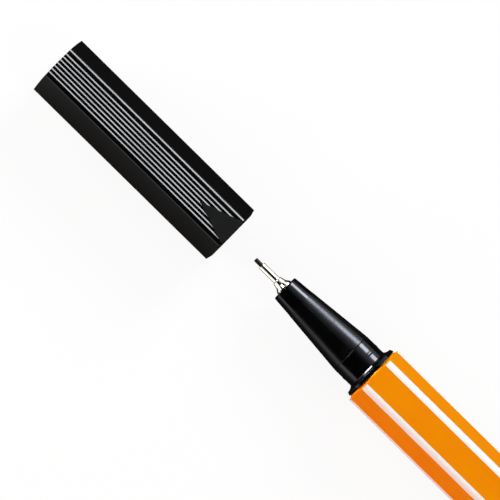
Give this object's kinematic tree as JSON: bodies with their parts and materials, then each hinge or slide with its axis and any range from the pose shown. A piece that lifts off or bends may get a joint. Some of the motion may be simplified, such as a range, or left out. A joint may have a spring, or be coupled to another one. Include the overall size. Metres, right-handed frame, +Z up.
{
  "type": "fineliner pen",
  "caption": "Slim hexagonal fineliner pen with a striped barrel, a tapered nose, a metal-clad fibre tip and a ribbed hexagonal cap that pulls off.",
  "frame": {"origin": "middle of the barrel's lower flat, on the table that the pen lies on", "axes": "+X along the pen towards its writing tip, +Z up, +Y to its left"},
  "size_m": [0.1918, 0.0092, 0.0082],
  "materials": {
    "barrel_orange": "satin gloss",
    "stripe_white": "satin",
    "nose_black": "satin gloss",
    "tip_steel": "drawn, bright",
    "nib_black": "inked",
    "ink_fibre": "inked fibre",
    "reservoir_film": "clear film",
    "plug_black": "satin gloss",
    "cap_black": "satin",
    "liner_natural": "soft"
  },
  "bodies": {
    "pen": {"barrel": "barrel_orange", "corner_stripe_1": "stripe_white", "corner_stripe_2": "stripe_white", "corner_stripe_3": "stripe_white", "corner_stripe_4": "stripe_white", "corner_stripe_5": "stripe_white", "corner_stripe_6": "stripe_white", "nose_section": "nose_black", "tip_sleeve": "tip_steel", "nib": "nib_black", "reservoir_core": "ink_fibre", "reservoir_wrap": "reservoir_film", "end_plug": "plug_black"},
    "cap": {"cap_shell": "cap_black", "cap_liner": "liner_natural"}
  },
  "joints": [
    {"name": "cap_slide", "type": "slide", "parent": "pen", "child": "cap", "axis": [-1, 0, 0], "range_m": [0, 0.02569]}
  ]
}
